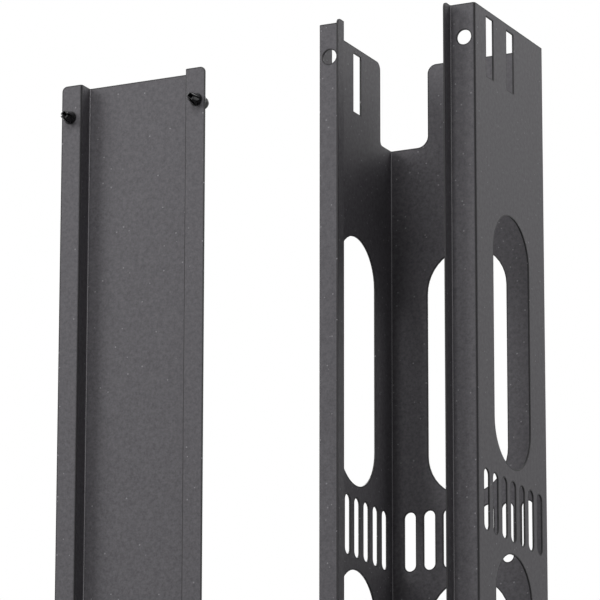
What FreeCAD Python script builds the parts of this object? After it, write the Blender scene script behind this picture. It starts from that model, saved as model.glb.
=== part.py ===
import FreeCAD, Part
import math
import os

# A vertical cable manager for an equipment rack, in millimetres, +Z up.
# A bent-sheet trough stands on its end. Its push-fit cover stands beside it, taken off and
# turned round, so that its inner side and the tips of its push-pull latches face the front.
# The origin is on the floor, under the middle of the whole set. The front is towards -Y.

# Trough sheet
TROUGH_WIDTH = 152.4
TROUGH_DEPTH = 150.0
SHEET = 1.5
BEND_RADIUS = 0.8
FLANGE_WIDTH = 25.0
LIP_LENGTH = 12.7
LIP_CORNER_RADIUS = 5.0

# Racetrack windows, one above the other in both sides and in the rear
WINDOW_COUNT = 6
WINDOW_LENGTH = 228.6
WINDOW_WIDTH = 78.0
WINDOW_GAP = 76.2
END_MARGIN = 177.8
WINDOW_PITCH = WINDOW_LENGTH + WINDOW_GAP
TROUGH_HEIGHT = 2 * END_MARGIN + (WINDOW_COUNT - 1) * WINDOW_PITCH + WINDOW_LENGTH

# Rows of tie slots in the gaps between the windows
TIE_COUNT = 7
TIE_PITCH = 19.05
TIE_WIDTH = 11.1
TIE_FROM_WINDOW = 11.1
TIE_LENGTH = WINDOW_GAP - 2 * TIE_FROM_WINDOW

# Square-cornered fixing slots in the side walls, by both ends
FIXING_COUNT = 2
FIXING_PITCH = 44.45
FIXING_WIDTH = 15.9
FIXING_LENGTH = 55.5
FIXING_FROM_END = 6.0
FIXING_FROM_FRONT = 24.1

# Notch in the top rear left corner, with a rounding of its own at each of its four corners
NOTCH_HEIGHT = 77.8
NOTCH_IN_SIDE = 24.6
NOTCH_IN_REAR = 38.5
NOTCH_SIDE_ROOT_RADIUS = 4.0
NOTCH_REAR_ROOT_RADIUS = 10.5
NOTCH_SIDE_MOUTH_RADIUS = 7.0
NOTCH_REAR_MOUTH_RADIUS = 8.5

# Cover
COVER_INSET = 1.7
COVER_SHEET = 1.5
COVER_BEND_RADIUS = 0.8
COVER_RECESS = 16.0
COVER_CORNER_RADIUS = 5.0
COVER_LIP_CLEARANCE = 1.2
COVER_SIDEWAYS = 297.0
COVER_BACK = 62.0

# Push-pull latches: a split grommet snapped into the cover, and the plunger that spreads it
LATCH_ROWS = 3
LATCH_FROM_END = 31.0
LATCH_FROM_SIDE = 10.5
FLANGE_HOLE = 13.6
COVER_HOLE = 11.0
BARREL_CLEARANCE = 0.15
COLLAR_DIAMETER = 17.0
COLLAR_THICKNESS = 2.5
COLLAR_EDGE_RADIUS = 0.8
BARB_DIAMETER = 11.4
BARB_LENGTH = 1.0
BARB_CLEARANCE = 0.1
PRONG_LENGTH = 12.0
PRONG_ROOT_DIAMETER = 10.8
PRONG_TIP_DIAMETER = 7.8
PRONG_TIP_RADIUS = 0.8
PRONG_SPLIT = 1.6
PRONG_SPLIT_LENGTH = 10.4
SHANK_DIAMETER = 4.8
SHANK_CLEARANCE = 0.2
SHANK_POINT = 1.6
PLUNGER_TRAVEL = 7.0
PLUNGER_REACH = 11.0
HEAD_DIAMETER = 12.0
HEAD_THICKNESS = 4.0
HEAD_EDGE_RADIUS = 1.4
HEAD_NECK_DIAMETER = 8.6
HEAD_NECK_LENGTH = 1.2

# How far a cutter runs past the sheet that it cuts
OVERRUN = 1.0

# How near two places or sizes are when they count as the same
SAME = 0.05

# Places that follow from the sizes above
COVER_WIDTH = TROUGH_WIDTH - 2 * COVER_INSET
TROUGH_X = (COVER_SIDEWAYS + COVER_WIDTH / 2 - TROUGH_WIDTH / 2) / 2
COVER_X = TROUGH_X - COVER_SIDEWAYS
FRONT_Y = -(TROUGH_DEPTH - LIP_LENGTH) / 2
REAR_Y = FRONT_Y + TROUGH_DEPTH
WALL_MIDDLE_Y = (FRONT_Y + REAR_Y) / 2
COVER_Y = FRONT_Y + COVER_BACK
LIP_OUTSIDE = TROUGH_WIDTH / 2 - FLANGE_WIDTH + SHEET
LATCH_X = TROUGH_WIDTH / 2 - LATCH_FROM_SIDE


def vector(x, y, z=0.0):
    return FreeCAD.Vector(x, y, z)


def turn_of(before, corner, after):
    """The unit directions into and out of a corner, and the turn between them, left positive."""
    into = (corner - before).normalize()
    out = (after - corner).normalize()
    return into, out, math.atan2(into.cross(out).z, into.dot(out))


def offset_route(route, offset):
    """The corners of a flat route moved sideways, left positive."""
    moved = []
    for index, point in enumerate(route):
        into = (point - route[index - 1]).normalize() if index else None
        out = (route[index + 1] - point).normalize() if index + 1 < len(route) else None
        into, out = into or out, out or into
        left = vector(-into.y - out.y, into.x + out.x)
        share = 1 + into.dot(out)
        moved.append(point + left * (offset / share))
    return moved


def side_of_sheet(route, offset, inner_radius, thickness):
    """The edges along one face of a bent sheet, with an arc at each bend."""
    points = offset_route(route, offset)
    edges = []
    start = points[0]
    for before, corner, after in zip(points, points[1:], points[2:]):
        into, out, turn = turn_of(before, corner, after)
        radius = inner_radius if turn * offset > 0 else inner_radius + thickness
        reach = radius * math.tan(abs(turn) / 2)
        first = corner - into * reach
        last = corner + out * reach
        inward = (out - into).normalize()
        depth = radius / math.cos(turn / 2) - radius
        edges.append(Part.LineSegment(start, first).toShape())
        edges.append(Part.Arc(first, corner + inward * depth, last).toShape())
        start = last
    edges.append(Part.LineSegment(start, points[-1]).toShape())
    return edges, points[0], points[-1]


def bent_sheet(route, thickness, inner_radius, height):
    """A sheet of even thickness bent along a flat route and run up to a height."""
    left, left_start, left_end = side_of_sheet(route, thickness / 2, inner_radius, thickness)
    right, right_start, right_end = side_of_sheet(route, -thickness / 2, inner_radius, thickness)
    ends = [
        Part.LineSegment(left_end, right_end).toShape(),
        Part.LineSegment(right_start, left_start).toShape(),
    ]
    outline = Part.Wire(Part.__sortEdges__(left + right + ends))
    return Part.Face(outline).extrude(vector(0, 0, height))


def box(low, high):
    size = high - low
    return Part.makeBox(size.x, size.y, size.z, low)


def round_ended(width, length):
    """An upright slot outline with round ends, centred, in the plane of X and Z."""
    radius = width / 2
    straight = length / 2 - radius
    edges = [
        Part.LineSegment(vector(-radius, 0, -straight), vector(-radius, 0, straight)),
        Part.Arc(
            vector(-radius, 0, straight), vector(0, 0, length / 2), vector(radius, 0, straight)
        ),
        Part.LineSegment(vector(radius, 0, straight), vector(radius, 0, -straight)),
        Part.Arc(
            vector(radius, 0, -straight), vector(0, 0, -length / 2), vector(-radius, 0, -straight)
        ),
    ]
    return Part.Face(Part.Wire([edge.toShape() for edge in edges]))


def slot_through_rear(width, length, x, z):
    """A cutter for one round-ended slot in the rear wall."""
    depth = SHEET + 2 * OVERRUN
    cutter = round_ended(width, length).extrude(vector(0, depth, 0))
    cutter.translate(vector(TROUGH_X + x, REAR_Y - SHEET - OVERRUN, z))
    return cutter


def slot_through_sides(width, length, y, z):
    """A cutter for one round-ended slot in both side walls at once."""
    depth = TROUGH_WIDTH + 2 * OVERRUN
    cutter = round_ended(width, length).extrude(vector(0, depth, 0))
    cutter.rotate(vector(0, 0), vector(0, 0, 1), -90)
    cutter.translate(vector(TROUGH_X - depth / 2, WALL_MIDDLE_Y + y, z))
    return cutter


def window_heights():
    """The middle of each row of windows."""
    first = END_MARGIN + WINDOW_LENGTH / 2
    return [first + index * WINDOW_PITCH for index in range(WINDOW_COUNT)]


def wall_openings():
    """Windows and tie slots of the rear and of both sides."""
    cutters = []
    heights = window_heights()
    for z in heights:
        cutters.append(slot_through_rear(WINDOW_WIDTH, WINDOW_LENGTH, 0, z))
        cutters.append(slot_through_sides(WINDOW_WIDTH, WINDOW_LENGTH, 0, z))
    for below, above in zip(heights, heights[1:]):
        z = (below + above) / 2
        for index in range(TIE_COUNT):
            across = (index - (TIE_COUNT - 1) / 2) * TIE_PITCH
            cutters.append(slot_through_rear(TIE_WIDTH, TIE_LENGTH, across, z))
            cutters.append(slot_through_sides(TIE_WIDTH, TIE_LENGTH, across, z))
    return cutters


def fixing_slots():
    """Square-cornered slots through both side walls, at the top and at the bottom."""
    cutters = []
    for low in (FIXING_FROM_END, TROUGH_HEIGHT - FIXING_FROM_END - FIXING_LENGTH):
        for index in range(FIXING_COUNT):
            front = FRONT_Y + FIXING_FROM_FRONT + index * FIXING_PITCH
            cutters.append(
                box(
                    vector(TROUGH_X - TROUGH_WIDTH / 2 - OVERRUN, front, low),
                    vector(
                        TROUGH_X + TROUGH_WIDTH / 2 + OVERRUN,
                        front + FIXING_WIDTH,
                        low + FIXING_LENGTH,
                    ),
                )
            )
    return cutters


def latch_heights():
    """The height of each row of latches, from the bottom up."""
    rise = (TROUGH_HEIGHT - 2 * LATCH_FROM_END) / (LATCH_ROWS - 1)
    return [LATCH_FROM_END + index * rise for index in range(LATCH_ROWS)]


def latch_holes(middle_x, face_y, thickness, diameter):
    """Round cutters for a pair of latch holes in each row."""
    return [
        Part.makeCylinder(
            diameter / 2,
            thickness + 2 * OVERRUN,
            vector(middle_x + side * LATCH_X, face_y - OVERRUN, z),
            vector(0, 1, 0),
        )
        for z in latch_heights()
        for side in (-1, 1)
    ]


def edges_near(shape, places):
    """The edges whose middle lies at one of the given places."""
    found = []
    for edge in shape.Edges:
        middle = edge.CenterOfMass
        if any((middle - place).Length < SAME for place in places):
            found.append(edge)
    return found


def trough():
    lip_x = LIP_OUTSIDE - SHEET / 2
    wall_x = (TROUGH_WIDTH - SHEET) / 2
    flange_y = FRONT_Y + SHEET / 2
    rear_y = REAR_Y - SHEET / 2
    half = [(lip_x, FRONT_Y - LIP_LENGTH), (lip_x, flange_y), (wall_x, flange_y), (wall_x, rear_y)]
    route = [vector(TROUGH_X - x, y) for x, y in half]
    route += [vector(TROUGH_X + x, y) for x, y in reversed(half)]
    sheet = bent_sheet(route, SHEET, BEND_RADIUS, TROUGH_HEIGHT)

    notch_x = TROUGH_X - TROUGH_WIDTH / 2 + NOTCH_IN_REAR
    notch_y = REAR_Y - NOTCH_IN_SIDE
    notch_z = TROUGH_HEIGHT - NOTCH_HEIGHT
    notch = box(
        vector(TROUGH_X - TROUGH_WIDTH / 2 - OVERRUN, notch_y, notch_z),
        vector(notch_x, REAR_Y + OVERRUN, TROUGH_HEIGHT + OVERRUN),
    )
    holes = latch_holes(TROUGH_X, FRONT_Y, SHEET, FLANGE_HOLE)
    sheet = sheet.cut([notch] + holes + fixing_slots() + wall_openings())

    side_x = TROUGH_X - wall_x
    notch_corners = [
        (NOTCH_SIDE_ROOT_RADIUS, vector(side_x, notch_y, notch_z)),
        (NOTCH_REAR_ROOT_RADIUS, vector(notch_x, rear_y, notch_z)),
        (NOTCH_SIDE_MOUTH_RADIUS, vector(side_x, notch_y, TROUGH_HEIGHT)),
        (NOTCH_REAR_MOUTH_RADIUS, vector(notch_x, rear_y, TROUGH_HEIGHT)),
    ]
    for radius, place in notch_corners:
        sheet = sheet.makeFillet(radius, edges_near(sheet, [place]))
    lip_corners = [
        vector(TROUGH_X + side * lip_x, FRONT_Y - LIP_LENGTH, z)
        for side in (-1, 1)
        for z in (0, TROUGH_HEIGHT)
    ]
    return sheet.makeFillet(LIP_CORNER_RADIUS, edges_near(sheet, lip_corners))


def cover():
    edge_x = COVER_WIDTH / 2
    step_x = LIP_OUTSIDE + COVER_LIP_CLEARANCE + COVER_SHEET / 2
    flange_y = COVER_Y + COVER_SHEET / 2
    panel_y = flange_y + COVER_RECESS
    half = [(edge_x, flange_y), (step_x, flange_y), (step_x, panel_y)]
    route = [vector(COVER_X - x, y) for x, y in half]
    route += [vector(COVER_X + x, y) for x, y in reversed(half)]
    sheet = bent_sheet(route, COVER_SHEET, COVER_BEND_RADIUS, TROUGH_HEIGHT)
    sheet = sheet.cut(latch_holes(COVER_X, COVER_Y, COVER_SHEET, COVER_HOLE))
    corners = [
        vector(COVER_X + side * edge_x, flange_y, z)
        for side in (-1, 1)
        for z in (0, TROUGH_HEIGHT)
    ]
    return sheet.makeFillet(COVER_CORNER_RADIUS, edges_near(sheet, corners))


def turned(profile):
    """A solid of revolution about Y from (radius, y) pairs, closed on the axis or on itself."""
    points = [vector(radius, y) for radius, y in profile]
    outline = Part.makePolygon(points + [points[0]])
    return Part.Face(outline).revolve(vector(0, 0), vector(0, 1, 0), 360)


def circles_near(shape, radius, y):
    """The round edges of one radius about the Y axis at one height."""
    return [
        edge
        for edge in shape.Edges
        if isinstance(edge.Curve, Part.Circle)
        and abs(edge.Curve.Radius - radius) < SAME
        and abs(edge.Curve.Center.y - y) < SAME
    ]


def grommet():
    """The split grommet, its collar on the outer side of the cover and its prongs inwards."""
    bore = SHANK_DIAMETER / 2 + SHANK_CLEARANCE
    barrel = COVER_HOLE / 2 - BARREL_CLEARANCE
    collar_top = COVER_SHEET + COLLAR_THICKNESS
    barb_top = -BARB_CLEARANCE
    barb_end = barb_top - BARB_LENGTH
    body = turned(
        [
            (bore, collar_top),
            (COLLAR_DIAMETER / 2, collar_top),
            (COLLAR_DIAMETER / 2, COVER_SHEET),
            (barrel, COVER_SHEET),
            (barrel, barb_top),
            (BARB_DIAMETER / 2, barb_top),
            (PRONG_ROOT_DIAMETER / 2, barb_end),
            (PRONG_TIP_DIAMETER / 2, -PRONG_LENGTH),
            (bore, -PRONG_LENGTH),
        ]
    )
    body = body.makeFillet(
        COLLAR_EDGE_RADIUS, circles_near(body, COLLAR_DIAMETER / 2, collar_top)
    )
    body = body.makeFillet(
        PRONG_TIP_RADIUS, circles_near(body, PRONG_TIP_DIAMETER / 2, -PRONG_LENGTH)
    )
    reach = BARB_DIAMETER / 2 + OVERRUN
    split_top = PRONG_SPLIT_LENGTH - PRONG_LENGTH
    split = box(
        vector(-reach, -PRONG_LENGTH - OVERRUN, -PRONG_SPLIT / 2),
        vector(reach, split_top, PRONG_SPLIT / 2),
    )
    across = split.copy()
    across.rotate(vector(0, 0), vector(0, 1, 0), 90)
    return body.cut([split, across])


def plunger():
    """The plunger, pulled out: its head stands off the collar by its travel."""
    seat = COVER_SHEET + COLLAR_THICKNESS + PLUNGER_TRAVEL
    neck = seat + HEAD_NECK_LENGTH
    top = seat + HEAD_THICKNESS
    tip = seat - PLUNGER_REACH
    shank = SHANK_DIAMETER / 2
    body = turned(
        [
            (0, tip),
            (shank - SHANK_POINT / 2, tip),
            (shank, tip + SHANK_POINT),
            (shank, seat),
            (HEAD_NECK_DIAMETER / 2, seat),
            (HEAD_DIAMETER / 2, neck),
            (HEAD_DIAMETER / 2, top),
            (0, top),
        ]
    )
    return body.makeFillet(HEAD_EDGE_RADIUS, circles_near(body, HEAD_DIAMETER / 2, top))


def row_names():
    """A name for each row of latches, from the bottom up."""
    between = LATCH_ROWS - 2
    middles = ["middle"] if between == 1 else [f"middle_{index + 1}" for index in range(between)]
    return ["bottom"] + middles + ["top"]


def latches():
    """Each latch's grommet and plunger, named by row and by side as the front view shows them."""
    pieces = {}
    for row, z in zip(row_names(), latch_heights()):
        for side, name in ((-1, "left"), (1, "right")):
            place = vector(COVER_X + side * LATCH_X, COVER_Y, z)
            for kind, shape in (("grommet", grommet()), ("plunger", plunger())):
                shape.translate(place)
                pieces[f"{kind}_{row}_{name}"] = shape
    return pieces


def main():
    nodes = {"trough": trough(), "cover": cover()}
    nodes.update(latches())
    os.makedirs("parts", exist_ok=True)
    for name, shape in nodes.items():
        shape.exportStep(f"parts/{name}.step")
        size = shape.BoundBox
        print(
            f"{name}: {len(shape.Solids)} solid, {shape.Volume / 1000:.2f} cm3, valid "
            f"{shape.isValid()}, x {size.XMin:.1f} {size.XMax:.1f}, y {size.YMin:.1f} "
            f"{size.YMax:.1f}, z {size.ZMin:.1f} {size.ZMax:.1f}"
        )


main()
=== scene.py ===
# %% [markdown]
# # A vertical cable manager, dressed around its frame
# The object is two long pieces of bent steel sheet, a trough and its cover, and six small
# latches of black nylon that sit in the cover.
# A maker cuts the windows and slots in flat sheet, bends it, and then powder-coats the whole
# piece, so one finish runs over walls, bends and cut edges alike.
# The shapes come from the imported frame. This lesson gives them their finish, and then sets up
# the light and the camera of a plain studio photograph.

# %% Load the frame
import math

import bpy
from mathutils import Matrix, Vector


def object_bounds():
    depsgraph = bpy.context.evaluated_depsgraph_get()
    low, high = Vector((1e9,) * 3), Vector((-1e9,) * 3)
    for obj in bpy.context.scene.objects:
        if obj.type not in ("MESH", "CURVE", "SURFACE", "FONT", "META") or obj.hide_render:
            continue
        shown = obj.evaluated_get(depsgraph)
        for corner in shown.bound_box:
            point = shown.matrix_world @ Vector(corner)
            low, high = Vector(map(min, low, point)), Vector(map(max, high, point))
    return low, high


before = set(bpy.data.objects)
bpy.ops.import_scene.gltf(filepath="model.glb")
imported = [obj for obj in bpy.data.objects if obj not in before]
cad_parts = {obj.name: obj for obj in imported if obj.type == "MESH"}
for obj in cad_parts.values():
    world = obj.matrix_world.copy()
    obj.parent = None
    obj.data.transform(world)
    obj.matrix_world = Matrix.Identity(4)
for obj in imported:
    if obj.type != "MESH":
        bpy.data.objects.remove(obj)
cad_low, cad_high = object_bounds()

MM = 0.001
height = cad_high.z
print(f"{len(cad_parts)} nodes, {height:.3f} m tall")

# %% [markdown]
# ## Colours and nodes
# A colour is picked on a screen, so it is written as an sRGB hex value. Cycles works in
# linear light, and one function makes the change.
# A finish is a tree of nodes. Adding a node, setting it and wiring it could each take a line of
# its own, but a tree is easier to read when they are one call, so one small function does all
# three.


# %% Helpers for colours and nodes
def linear(hex_colour):
    """An sRGB hex colour as the linear RGBA that a shader takes."""
    channels = [int(hex_colour[at : at + 2], 16) / 255 for at in (1, 3, 5)]
    return [c / 12.92 if c <= 0.04045 else ((c + 0.055) / 1.055) ** 2.4 for c in channels] + [1]


def add(tree, kind, inputs=None, **settings):
    """Adds one node, with its settings, and with a value or a link for each named input."""
    node = tree.nodes.new(kind)
    for name, value in settings.items():
        setattr(node, name, value)
    for name, value in (inputs or {}).items():
        socket = node.inputs[name]
        if isinstance(value, bpy.types.NodeSocket):
            tree.links.new(value, socket)
        else:
            socket.default_value = value
    return node


print("mid grey on a screen is", round(linear("#808080")[0], 3), "in linear light")

# %% [markdown]
# ## A material and its scale
# Each finish starts from an empty tree and ends in one output. Its patterns lie in the object's
# own coordinates, in metres. They could lie on an unwrapped skin instead, but a bent sheet full
# of openings unwraps badly, and this way a pattern runs on over a bend.
# A maker gives a grain in millimetres and Blender wants features per metre, so one function
# turns the one into the other.


# %% Helpers for materials
def new_material(name):
    """An empty material, its tree, and its object coordinates in metres."""
    material = bpy.data.materials.new(name)
    material.use_nodes = True
    tree = material.node_tree
    tree.nodes.clear()
    return material, tree, add(tree, "ShaderNodeTexCoord").outputs["Object"]


def finish_material(tree, shader):
    """Gives the tree its output."""
    add(tree, "ShaderNodeOutputMaterial", {"Surface": shader.outputs[0]})


def per_metre(size_mm):
    """The texture scale whose features are about so many millimetres across."""
    return 1 / (size_mm * MM)


print("a grain of 2 mm has the scale", per_metre(2))

# %% [markdown]
# ## Relief and roughness
# Neither finish is flat: powder coat has a sandy grain, and moulded nylon a faint ripple. Real
# displacement would need millions of faces for a grain this fine. One noise is enough here. It
# tilts the normals as a relief would, and it varies the roughness with it, so that a highlight
# breaks up into patches.

# %% A shader with a grain
# Nearly all of a noise lies between these two values.
NOISE_LOW = 0.3
NOISE_HIGH = 0.7


def grained(tree, colour, noise, roughness, strength, depth_mm, gloss):
    """A shader with the noise as its relief, and as its roughness between two limits."""
    varied = add(
        tree, "ShaderNodeMapRange",
        {
            "Value": noise,
            "From Min": NOISE_LOW,
            "From Max": NOISE_HIGH,
            "To Min": roughness[0],
            "To Max": roughness[1],
        },
    )
    relief = add(
        tree, "ShaderNodeBump", {"Height": noise, "Strength": strength, "Distance": depth_mm * MM},
    )
    return add(
        tree, "ShaderNodeBsdfPrincipled",
        {
            "Base Color": colour,
            "Roughness": varied.outputs[0],
            "Normal": relief.outputs["Normal"],
            **gloss,
        },
    )


print("a noise is read from", NOISE_LOW, "to", NOISE_HIGH)

# %% [markdown]
# ## Powder coat on steel
# The sheet wears a fine-textured black powder coat: polyester powder, sprayed on dry and baked
# until it flows into a skin with a sandy grain. Under a bright light it looks dark grey.
# Three things make it read as powder coat and not as flat paint. The grain breaks up the light,
# so the gloss is broad and dull. The colour is faintly mottled, because the film is thicker in
# some places. It holds dust: a few pale specks lie on every large face. Two more marks are
# painted on: a thin dark line along every cut edge and every outer bend, and a pale line down
# the middle of each inner bend, which is a painted highlight where the bend catches the light.
# The next cells make the masks for the edges, the bends and the dust, and the last one lays the
# colours over each other.

# %% [markdown]
# ### Cut edges
# The dark line could be painted by hand on an image, but there are windows and slots along the
# whole height. Here the shape itself gives it, so it follows every opening.
# Ambient Occlusion usually looks outwards. Turned round, it looks into the metal. With rays
# just shorter than the sheet is thick, only an edge and a narrow band beside it find a wall.

# %% A mask for cut edges
SHEET_MM = 1.5
EDGE_REACH_MM = 0.95 * SHEET_MM
EDGE_SAMPLES = 12
# The openness at which the line starts, and at which it is full.
EDGE_FROM = 0.98
EDGE_FULL = 0.8


def cut_edges(tree):
    """1 on the cut edges of the sheet and beside them, 0 on its faces."""
    depth = add(
        tree, "ShaderNodeAmbientOcclusion", {"Distance": EDGE_REACH_MM * MM},
        inside=True, only_local=True, samples=EDGE_SAMPLES,
    )
    mask = add(
        tree, "ShaderNodeMapRange",
        {"Value": depth.outputs["AO"], "From Min": EDGE_FROM, "From Max": EDGE_FULL},
    )
    return mask.outputs[0]


print("cut edges: rays", EDGE_REACH_MM, "mm into the metal")

# %% [markdown]
# ### Bends
# Every flat face of the object lies square to an axis, so a normal that points between two axes
# is on a bend: the largest of its three parts is then well under 1.
# Both sides of a bend pass that test. Ordinary occlusion, which looks outwards, tells them
# apart: the outer side is open, and the inner one is a hollow. Lines drawn on the finished
# picture would be simpler, but they would belong to one view and not to the object.

# %% Masks for the two sides of a bend
HOLLOW_REACH_MM = 2.0
BEND_SAMPLES = 8
# Where a mask starts and where it is full: the largest part of the normal, then the openness.
OUTER_BEND = ((0.99, 0.86), (0.8, 1.0))
INNER_BEND = ((0.99, 0.94), (1.0, 0.8))


def bends(tree):
    """Two masks: 1 in the middle of each outer bend, and 1 in the middle of each inner bend."""
    normal = add(tree, "ShaderNodeTexCoord").outputs["Normal"]
    lengths = add(tree, "ShaderNodeVectorMath", {0: normal}, operation="ABSOLUTE")
    parts = add(tree, "ShaderNodeSeparateXYZ", {"Vector": lengths.outputs["Vector"]})
    larger = add(
        tree, "ShaderNodeMath", {0: parts.outputs["X"], 1: parts.outputs["Y"]}, operation="MAXIMUM",
    )
    largest = add(
        tree, "ShaderNodeMath", {0: larger.outputs[0], 1: parts.outputs["Z"]}, operation="MAXIMUM",
    )
    openness = add(
        tree, "ShaderNodeAmbientOcclusion", {"Distance": HOLLOW_REACH_MM * MM},
        only_local=True, samples=BEND_SAMPLES,
    )
    masks = []
    for turned_limits, open_limits in (OUTER_BEND, INNER_BEND):
        turned, opened = (
            add(tree, "ShaderNodeMapRange", {"Value": value, "From Min": start, "From Max": full})
            for value, (start, full) in (
                (largest.outputs[0], turned_limits),
                (openness.outputs["AO"], open_limits),
            )
        )
        mask = add(
            tree, "ShaderNodeMath",
            {0: turned.outputs[0], 1: opened.outputs[0]}, operation="MULTIPLY",
        )
        masks.append(mask.outputs[0])
    return masks


print("bends: rays", HOLLOW_REACH_MM, "mm out of the surface")

# %% [markdown]
# ### Dust
# Dust sits in the grain as single pale specks, more in some places than in others. Particles
# could be strewn over the sheet, but they would be pieces of their own. A Voronoi texture has
# one point in each cell: every point is a place for a speck, and a random value of the cell,
# held against a slow noise, says whether it has one.

# %% A mask for dust
DUST_SPACING_MM = 7.0
DUST_RADIUS_MM = 0.75
CLOUD_MM = 90.0
CLOUD_DETAIL = 2.0
CLOUD_MEAN = 0.5


def dust(tree, place, share):
    """1 on the specks of dust, 0 elsewhere. share is the share of their places that hold one."""
    cells = add(
        tree, "ShaderNodeTexVoronoi", {"Vector": place, "Scale": per_metre(DUST_SPACING_MM)},
    )
    near = add(
        tree, "ShaderNodeMath",
        {0: cells.outputs["Distance"], 1: DUST_RADIUS_MM / DUST_SPACING_MM}, operation="LESS_THAN",
    )
    cloud = add(
        tree, "ShaderNodeTexNoise",
        {"Vector": place, "Scale": per_metre(CLOUD_MM), "Detail": CLOUD_DETAIL},
    )
    chance = add(
        tree, "ShaderNodeMath",
        {0: cloud.outputs["Fac"], 1: share / CLOUD_MEAN}, operation="MULTIPLY",
    )
    draw = add(tree, "ShaderNodeSeparateColor", {"Color": cells.outputs["Color"]})
    holds = add(
        tree, "ShaderNodeMath", {0: draw.outputs[0], 1: chance.outputs[0]}, operation="LESS_THAN",
    )
    speck = add(
        tree, "ShaderNodeMath", {0: near.outputs[0], 1: holds.outputs[0]}, operation="MULTIPLY",
    )
    return speck.outputs[0]


print("dust:", 2 * DUST_RADIUS_MM, "mm specks, at most one every", DUST_SPACING_MM, "mm or so")

# %% [markdown]
# ### The coat
# The layers lie over each other: a film that is thick or thin, a painted highlight down the
# inner bends and a dark line along the edges, with the dust on top. An image of real paint would
# hold all of that at once, but it would repeat along two metres of wall.
# The real grain is about 0.4 mm, which is under half a pixel at this distance, so it is drawn
# at 1.8 mm and mottled at 3.5 mm, just coarse enough to show.
# Baked polyester has an IOR of about 1.5. The grain swallows part of the gloss, so the specular
# level is under the usual 0.5.

# %% Powder coat
COAT = "#4f4d51"
COAT_THIN = "#656367"
# A painted highlight: a pale line down the middle of each inner bend.
PAINTED_BEND_HIGHLIGHT = "#b4b2b6"
# A dark line painted along every cut edge and every outer bend.
DARK_EDGE_LINE = "#1b1a1c"
DUST = "#8a888c"
GRAIN_MM = 1.8
GRAIN_DETAIL = 3.0
MOTTLE_MM = 3.5
MOTTLE_DETAIL = 2.0
# The sum of grain and mottle at which the film is thick, and at which it is thin.
FILM_THICK = 0.7
FILM_THIN = 1.3
COAT_ROUGHNESS = (0.5, 0.62)
COAT_GLOSS = {"IOR": 1.5, "Specular IOR Level": 0.3}
GRAIN_STRENGTH = 0.35
GRAIN_DEPTH_MM = 0.25
# The colour sockets of a Mix node go by number, because several of its sockets share a name.
MIX_A = 6
MIX_B = 7
MIX_RESULT = 2


def powder_coat(name, dust_share):
    """Textured powder coat. dust_share is the share of dust places that hold a speck."""
    material, tree, place = new_material(name)
    grain, mottle = (
        add(tree, "ShaderNodeTexNoise", {"Vector": place, "Scale": per_metre(size), "Detail": detail})
        for size, detail in ((GRAIN_MM, GRAIN_DETAIL), (MOTTLE_MM, MOTTLE_DETAIL))
    )
    both = add(
        tree, "ShaderNodeMath", {0: grain.outputs["Fac"], 1: mottle.outputs["Fac"]}, operation="ADD",
    )
    film = add(
        tree, "ShaderNodeMapRange",
        {"Value": both.outputs[0], "From Min": FILM_THICK, "From Max": FILM_THIN},
    )
    outer, inner = bends(tree)
    edge = add(tree, "ShaderNodeMath", {0: cut_edges(tree), 1: outer}, operation="MAXIMUM")
    colour = linear(COAT)
    for mask, layer in (
        (film.outputs[0], COAT_THIN),
        # the painted highlight down the inner bends
        (inner, PAINTED_BEND_HIGHLIGHT),
        # the painted dark line along the cut edges and outer bends
        (edge.outputs[0], DARK_EDGE_LINE),
        (dust(tree, place, dust_share), DUST),
    ):
        covered = add(
            tree, "ShaderNodeMix",
            {"Factor": mask, MIX_A: colour, MIX_B: linear(layer)}, data_type="RGBA",
        )
        colour = covered.outputs[MIX_RESULT]
    shader = grained(
        tree, colour, grain.outputs["Fac"],
        COAT_ROUGHNESS, GRAIN_STRENGTH, GRAIN_DEPTH_MM, COAT_GLOSS,
    )
    finish_material(tree, shader)
    return material


TROUGH_DUST_SHARE = 0.7
COVER_DUST_SHARE = 0.3
trough_coat = powder_coat("Textured black powder coat, trough", TROUGH_DUST_SHARE)
cover_coat = powder_coat("Textured black powder coat, cover", COVER_DUST_SHARE)
print("powder coat:", trough_coat.name, "and", cover_coat.name)

# %% [markdown]
# ## Black nylon
# The latches are moulded in black nylon 66, which has an IOR of 1.53. A moulded surface is
# smooth and takes a sharp highlight, so the latches are darker than the coat beside them and
# glint where it doesn't.
# A flat black with low roughness would do from far off. Close by it looks like glass, so the
# nylon gets the faint texture that a mould leaves. The real one is about 0.1 mm, which is too
# fine to show, so it is drawn at 0.9 mm.

# %% Moulded nylon
NYLON = "#151517"
MOULD_MM = 0.9
MOULD_DETAIL = 2.0
NYLON_ROUGHNESS = (0.14, 0.24)
NYLON_GLOSS = {"IOR": 1.53}
MOULD_STRENGTH = 0.1
MOULD_DEPTH_MM = 0.05


def moulded_nylon(name):
    """Smooth black nylon with the faint texture of its mould."""
    material, tree, place = new_material(name)
    ripple = add(
        tree, "ShaderNodeTexNoise",
        {"Vector": place, "Scale": per_metre(MOULD_MM), "Detail": MOULD_DETAIL},
    )
    shader = grained(
        tree, linear(NYLON), ripple.outputs["Fac"],
        NYLON_ROUGHNESS, MOULD_STRENGTH, MOULD_DEPTH_MM, NYLON_GLOSS,
    )
    finish_material(tree, shader)
    return material


nylon = moulded_nylon("Moulded black nylon 66")
print("nylon:", nylon.name)

# %% [markdown]
# ## Dressing the nodes
# A piece can be modelled anew in mesh code and stand in for its node. Here every shape is
# already right, down to the prongs of the latches, so each node keeps its mesh and only gets a
# material.

# %% Give each node its finish
finishes = {"trough": trough_coat, "cover": cover_coat}
for name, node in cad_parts.items():
    node.data.materials.clear()
    node.data.materials.append(finishes.get(name, nylon))
print("dressed", len(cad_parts), "nodes")

# %% [markdown]
# ## A white world
# The photograph has a pure white background. A backdrop lit until it is white would throw that
# light on the object too, and wash out its dark coat. So the world is white only to a ray that
# comes from the camera, or by way of gloss or glass, and it hardly lights the object at all.

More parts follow.
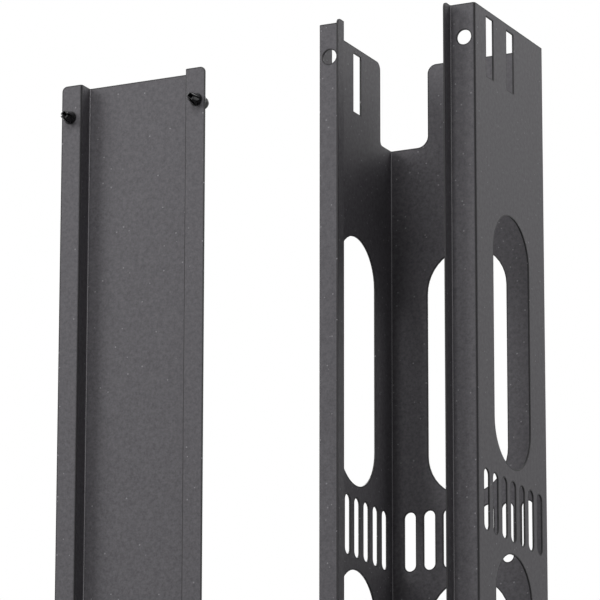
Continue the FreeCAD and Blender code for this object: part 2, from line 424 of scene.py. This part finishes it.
# %% World
WHITE = "#ffffff"
AMBIENT = 0.05


def seen_directly(tree):
    """1 for a ray from the camera, or one that gloss or glass sends on; 0 for soft light."""
    rays = add(tree, "ShaderNodeLightPath")
    seen = add(
        tree, "ShaderNodeMath",
        {0: rays.outputs["Is Camera Ray"], 1: rays.outputs["Is Glossy Ray"]}, operation="MAXIMUM",
    )
    return add(
        tree, "ShaderNodeMath",
        {0: seen.outputs[0], 1: rays.outputs["Is Transmission Ray"]}, operation="MAXIMUM",
    ).outputs[0]


world = bpy.data.worlds.new("Studio white")
bpy.context.scene.world = world
world.use_nodes = True
sky = world.node_tree
sky.nodes.clear()
strength = add(sky, "ShaderNodeMapRange", {"Value": seen_directly(sky), "To Min": AMBIENT})
white = add(sky, "ShaderNodeBackground", {"Color": linear(WHITE), "Strength": strength.outputs[0]})
add(sky, "ShaderNodeOutputWorld", {"Surface": white.outputs[0]})
print("world: strength 1 where it is seen,", AMBIENT, "as light")

# %% [markdown]
# ## Floor
# The set stands on a pale matt floor, which takes its shadow and isn't in the photograph's
# frame. A floor that ends near by shows an edge in other views, and one that runs on to the
# horizon meets the white world in a grey line. So it is pale round the object, and further out
# it turns clear to the camera, and the white world closes every view.

# %% Floor
FLOOR_SIDE = 60.0
FLOOR_COLOUR = "#ececec"
FLOOR_ROUGHNESS = 0.9
FLOOR_FADE_FROM = 1.0
FLOOR_FADE_TO = 5.0

bpy.ops.mesh.primitive_plane_add(size=FLOOR_SIDE, location=(0, 0, 0))
floor = bpy.context.object
floor.name = "floor"
floor_material, floor_tree, floor_place = new_material("Pale studio floor")
pale = add(
    floor_tree, "ShaderNodeBsdfPrincipled",
    {"Base Color": linear(FLOOR_COLOUR), "Roughness": FLOOR_ROUGHNESS},
)
clear = add(floor_tree, "ShaderNodeBsdfTransparent")
away = add(floor_tree, "ShaderNodeVectorMath", {0: floor_place}, operation="LENGTH")
fade = add(
    floor_tree, "ShaderNodeMapRange",
    {"Value": away.outputs["Value"], "From Min": FLOOR_FADE_FROM, "From Max": FLOOR_FADE_TO},
    interpolation_type="SMOOTHSTEP",
)
clear_share = add(
    floor_tree, "ShaderNodeMath",
    {0: fade.outputs[0], 1: seen_directly(floor_tree)}, operation="MULTIPLY",
)
faded = add(
    floor_tree, "ShaderNodeMixShader",
    {0: clear_share.outputs[0], 1: pale.outputs[0], 2: clear.outputs[0]},
)
finish_material(floor_tree, faded)
floor.data.materials.append(floor_material)
print("floor:", FLOOR_FADE_FROM, "m pale, gone at", FLOOR_FADE_TO, "m")

# %% [markdown]
# ## Lamps
# In the photograph the flanges and the right wall are about as bright as each other, so light
# comes from two sides. A soft key stands at the front left and a second lamp higher up in
# front, with a weak one to its right. A lamp high at the rear right lights the right wall, and
# with a weak one behind the object it reaches over that wall into the open top of the trough,
# where it fades. One at the rear left keeps the back readable, which the photograph doesn't
# show.
# A picture of a real studio, wrapped round the world, could light the object as well. Separate
# lamps can be matched one by one: each was rendered alone, and the strengths started as those
# whose sum came nearest to the brightness of the faces in the photograph.

# %% Lamps
AIM_RIGHT = 0.05
AIM_HEIGHT_SHARE = 0.88
LAMP_AIM = Vector((AIM_RIGHT, 0.0, AIM_HEIGHT_SHARE * height))
LAMP_DISTANCE = 3.0
# Name, turn and rise in degrees, width and height in metres, strength in watts.
LAMPS = (
    ("key_front_left", -53, 27, 1.2, 1.6, 39),
    ("front", -5, 42, 1.0, 1.0, 37),
    ("front_right", 35, 40, 1.2, 1.2, 4),
    ("rear_right", 129, 45, 1.6, 1.6, 27),
    ("rear", 165, 35, 1.2, 1.2, 7),
    ("fill_rear_left", -135, 30, 2.0, 2.0, 24),
)


def softbox(name, turn_deg, rise_deg, width, tall, watts):
    """A soft lamp that faces the upper part of the object. Turn 0 is the front, + the right."""
    turn, rise = math.radians(turn_deg), math.radians(rise_deg)
    away = Vector(
        (math.sin(turn) * math.cos(rise), -math.cos(turn) * math.cos(rise), math.sin(rise))
    )
    lamp = bpy.data.lights.new(name, "AREA")
    lamp.shape = "RECTANGLE"
    lamp.size = width
    lamp.size_y = tall
    lamp.energy = watts
    holder = bpy.data.objects.new(name, lamp)
    bpy.context.scene.collection.objects.link(holder)
    holder.location = LAMP_AIM + LAMP_DISTANCE * away
    holder.rotation_euler = (-away).to_track_quat("-Z", "Y").to_euler()
    return holder


for lamp_values in LAMPS:
    lamp_holder = softbox(*lamp_values)
    print("lamp:", lamp_holder.name, "at", [round(part, 2) for part in lamp_holder.location])

# %% [markdown]
# ## Camera
# The photograph was taken with a long lens from the front right, low down and looking up, and
# only the top of the set is in its frame. A camera can be placed by eye, but upright edges show
# a small error at once. So its place, its turns and its lens come from fitting the edges of the
# object to the photograph, with no lens shift, and every other view keeps its framing.

# %% Camera
IMAGE_SIDE_PX = 600
FOCAL_PX = 4868.0
SENSOR_MM = 36.0
CAMERA_PLACE = (1.8814, -3.7891, 0.7474)
TURN_DEG = 26.169
TILT_UP_DEG = 14.976
ROLL_DEG = 0.113
# A camera looks straight down until it is turned. This turn makes it look level.
LEVEL_DEG = 90
CLIP_END = 100

lens = bpy.data.cameras.new("photo_lens")
lens.sensor_width = SENSOR_MM
lens.lens = FOCAL_PX / IMAGE_SIDE_PX * SENSOR_MM
lens.clip_end = CLIP_END
camera = bpy.data.objects.new("photo_camera", lens)
bpy.context.scene.collection.objects.link(camera)
camera.matrix_world = (
    Matrix.Translation(CAMERA_PLACE)
    @ Matrix.Rotation(math.radians(TURN_DEG), 4, "Z")
    @ Matrix.Rotation(math.radians(LEVEL_DEG + TILT_UP_DEG), 4, "X")
    @ Matrix.Rotation(math.radians(ROLL_DEG), 4, "Z")
)
bpy.context.scene.camera = camera
bpy.context.scene.view_settings.view_transform = "Standard"
print(f"lens {lens.lens:.0f} mm")
